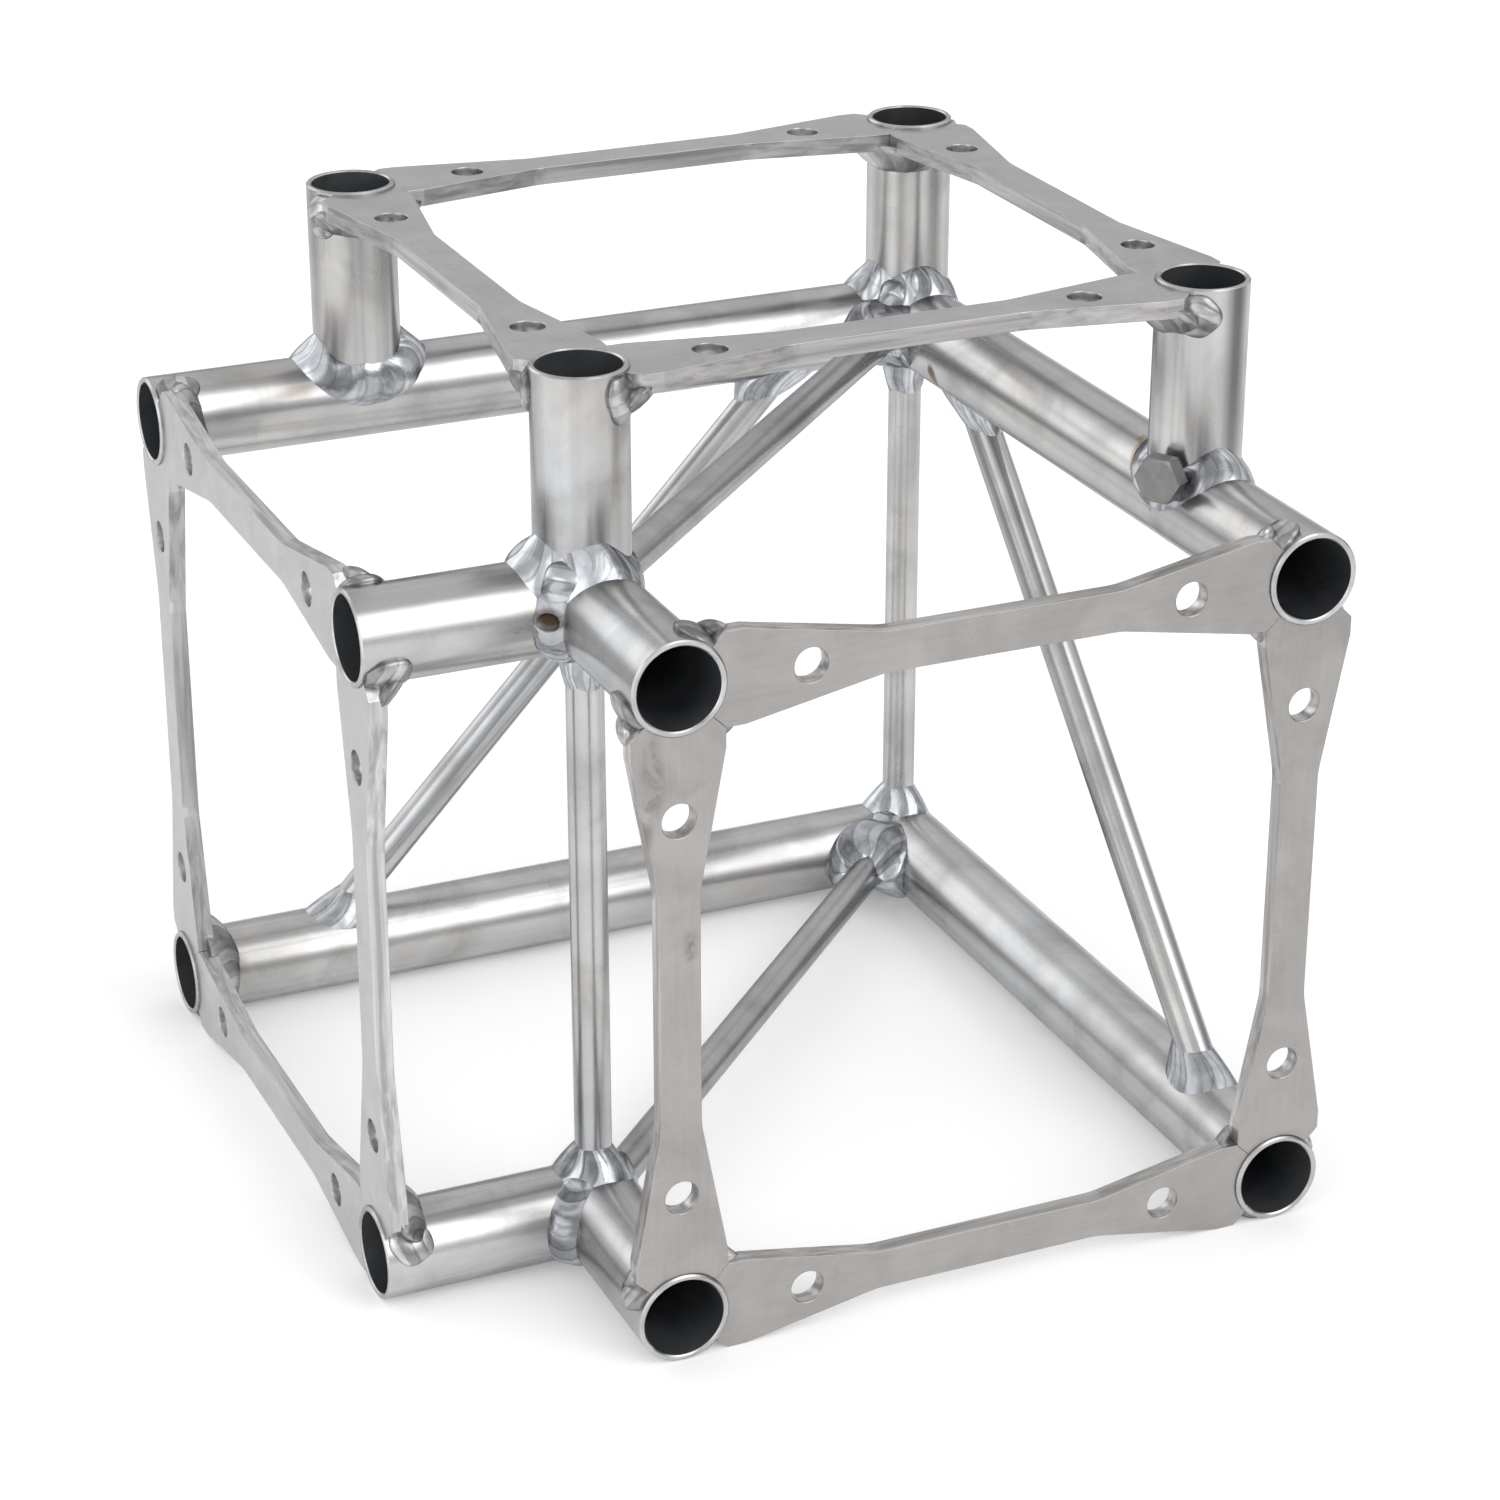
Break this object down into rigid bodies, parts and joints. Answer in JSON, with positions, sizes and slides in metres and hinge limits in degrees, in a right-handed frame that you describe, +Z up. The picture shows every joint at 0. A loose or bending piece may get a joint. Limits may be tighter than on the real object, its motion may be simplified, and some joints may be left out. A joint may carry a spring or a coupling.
{
  "type": "truss corner junction",
  "caption": "Welded aluminium three-way box-truss corner: open square end frames of bolting plates on round chords, with slim tube bracing between the corner nodes.",
  "frame": {"origin": "middle of the footprint at the level of the lower chords' undersides", "axes": "+Z up through the top end frame; the front end frame faces -Y and the left end frame faces -X"},
  "size_m": [0.5, 0.5, 0.5],
  "materials": {
    "tube_aluminium": "mill finish with soft lengthwise streaks",
    "plate_aluminium": "dull sawn and brushed plate",
    "weld_aluminium": "bright as-welded ripple",
    "bolt_steel": "dull grey"
  },
  "bodies": {
    "root": {"brace_diagonal_rear": "tube_aluminium", "brace_diagonal_side": "tube_aluminium", "brace_flat_lower": "tube_aluminium", "brace_flat_upper": "tube_aluminium", "brace_upright_front_left": "tube_aluminium", "brace_upright_rear_right": "tube_aluminium", "front_chord_lower_right": "tube_aluminium", "front_chord_upper_right": "tube_aluminium", "front_plate_left": "plate_aluminium", "front_plate_lower": "plate_aluminium", "front_plate_right": "plate_aluminium", "front_plate_upper": "plate_aluminium", "front_stub_lower_left": "tube_aluminium", "front_stub_upper_left": "tube_aluminium", "hex_bolt": "bolt_steel", "left_chord_lower_rear": "tube_aluminium", "left_chord_upper_rear": "tube_aluminium", "left_plate_front": "plate_aluminium", "left_plate_lower": "plate_aluminium", "left_plate_rear": "plate_aluminium", "left_plate_upper": "plate_aluminium", "left_stub_lower_front": "tube_aluminium", "left_stub_upper_front": "tube_aluminium", "top_plate_front": "plate_aluminium", "top_plate_left": "plate_aluminium", "top_plate_rear": "plate_aluminium", "top_plate_right": "plate_aluminium", "top_stub_front_left": "tube_aluminium", "top_stub_front_right": "tube_aluminium", "top_stub_rear_left": "tube_aluminium", "top_stub_rear_right": "tube_aluminium", "weld_diagonal_rear_lower": "weld_aluminium", "weld_diagonal_rear_upper": "weld_aluminium", "weld_diagonal_side_lower": "weld_aluminium", "weld_diagonal_side_upper": "weld_aluminium", "weld_front_plates_lower_left": "weld_aluminium", "weld_front_plates_lower_right": "weld_aluminium", "weld_front_plates_upper_left": "weld_aluminium", "weld_front_plates_upper_right": "weld_aluminium", "weld_left_plates_lower_front": "weld_aluminium", "weld_left_plates_lower_rear": "weld_aluminium", "weld_left_plates_upper_front": "weld_aluminium", "weld_left_plates_upper_rear": "weld_aluminium", "weld_node_lower_front_left": "weld_aluminium", "weld_node_lower_rear_right": "weld_aluminium", "weld_node_upper_front_left": "weld_aluminium", "weld_node_upper_rear_right": "weld_aluminium", "weld_tee_front_right": "weld_aluminium", "weld_tee_rear_left": "weld_aluminium", "weld_top_plates_front_left": "weld_aluminium", "weld_top_plates_front_right": "weld_aluminium", "weld_top_plates_rear_left": "weld_aluminium", "weld_top_plates_rear_right": "weld_aluminium"}
  },
  "joints": []
}
